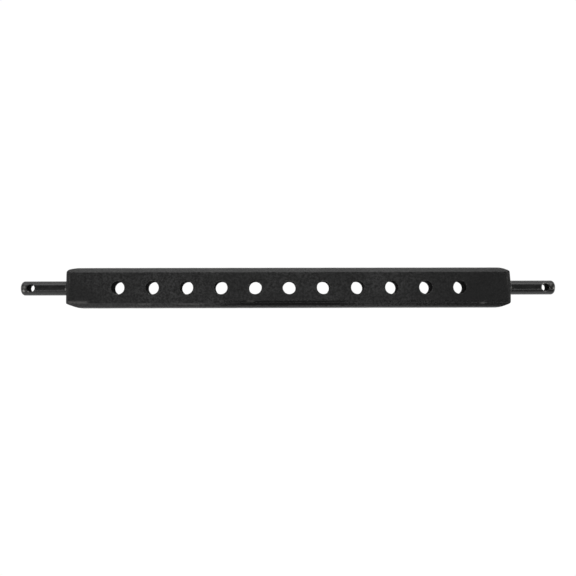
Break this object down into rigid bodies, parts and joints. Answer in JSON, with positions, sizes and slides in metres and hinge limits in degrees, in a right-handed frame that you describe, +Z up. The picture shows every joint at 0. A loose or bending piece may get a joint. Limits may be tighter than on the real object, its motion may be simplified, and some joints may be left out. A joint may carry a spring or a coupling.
{
  "type": "drilled hitch drawbar",
  "caption": "Solid flat steel bar with a row of through holes and a round hitch pin at each end, for a tractor's lower lift arms.",
  "frame": {"origin": "under the middle of the bar, in the plane of the wide face that it lies on", "axes": "+X along the bar towards the right pin, +Y across the bar's width, +Z up through the drilled holes"},
  "size_m": [0.827, 0.062, 0.031],
  "materials": {
    "bar_paint": "satin black enamel over hot-rolled steel, slightly mottled",
    "pin_paint": "semi-gloss black enamel over a turned surface, worn at the tip",
    "weld_paint": "semi-gloss black enamel over rippled weld metal"
  },
  "bodies": {
    "root": {"crossbar": "bar_paint", "left_hitch_pin": "pin_paint", "right_hitch_pin": "pin_paint", "left_pin_weld_bead": "weld_paint", "right_pin_weld_bead": "weld_paint"}
  },
  "joints": []
}
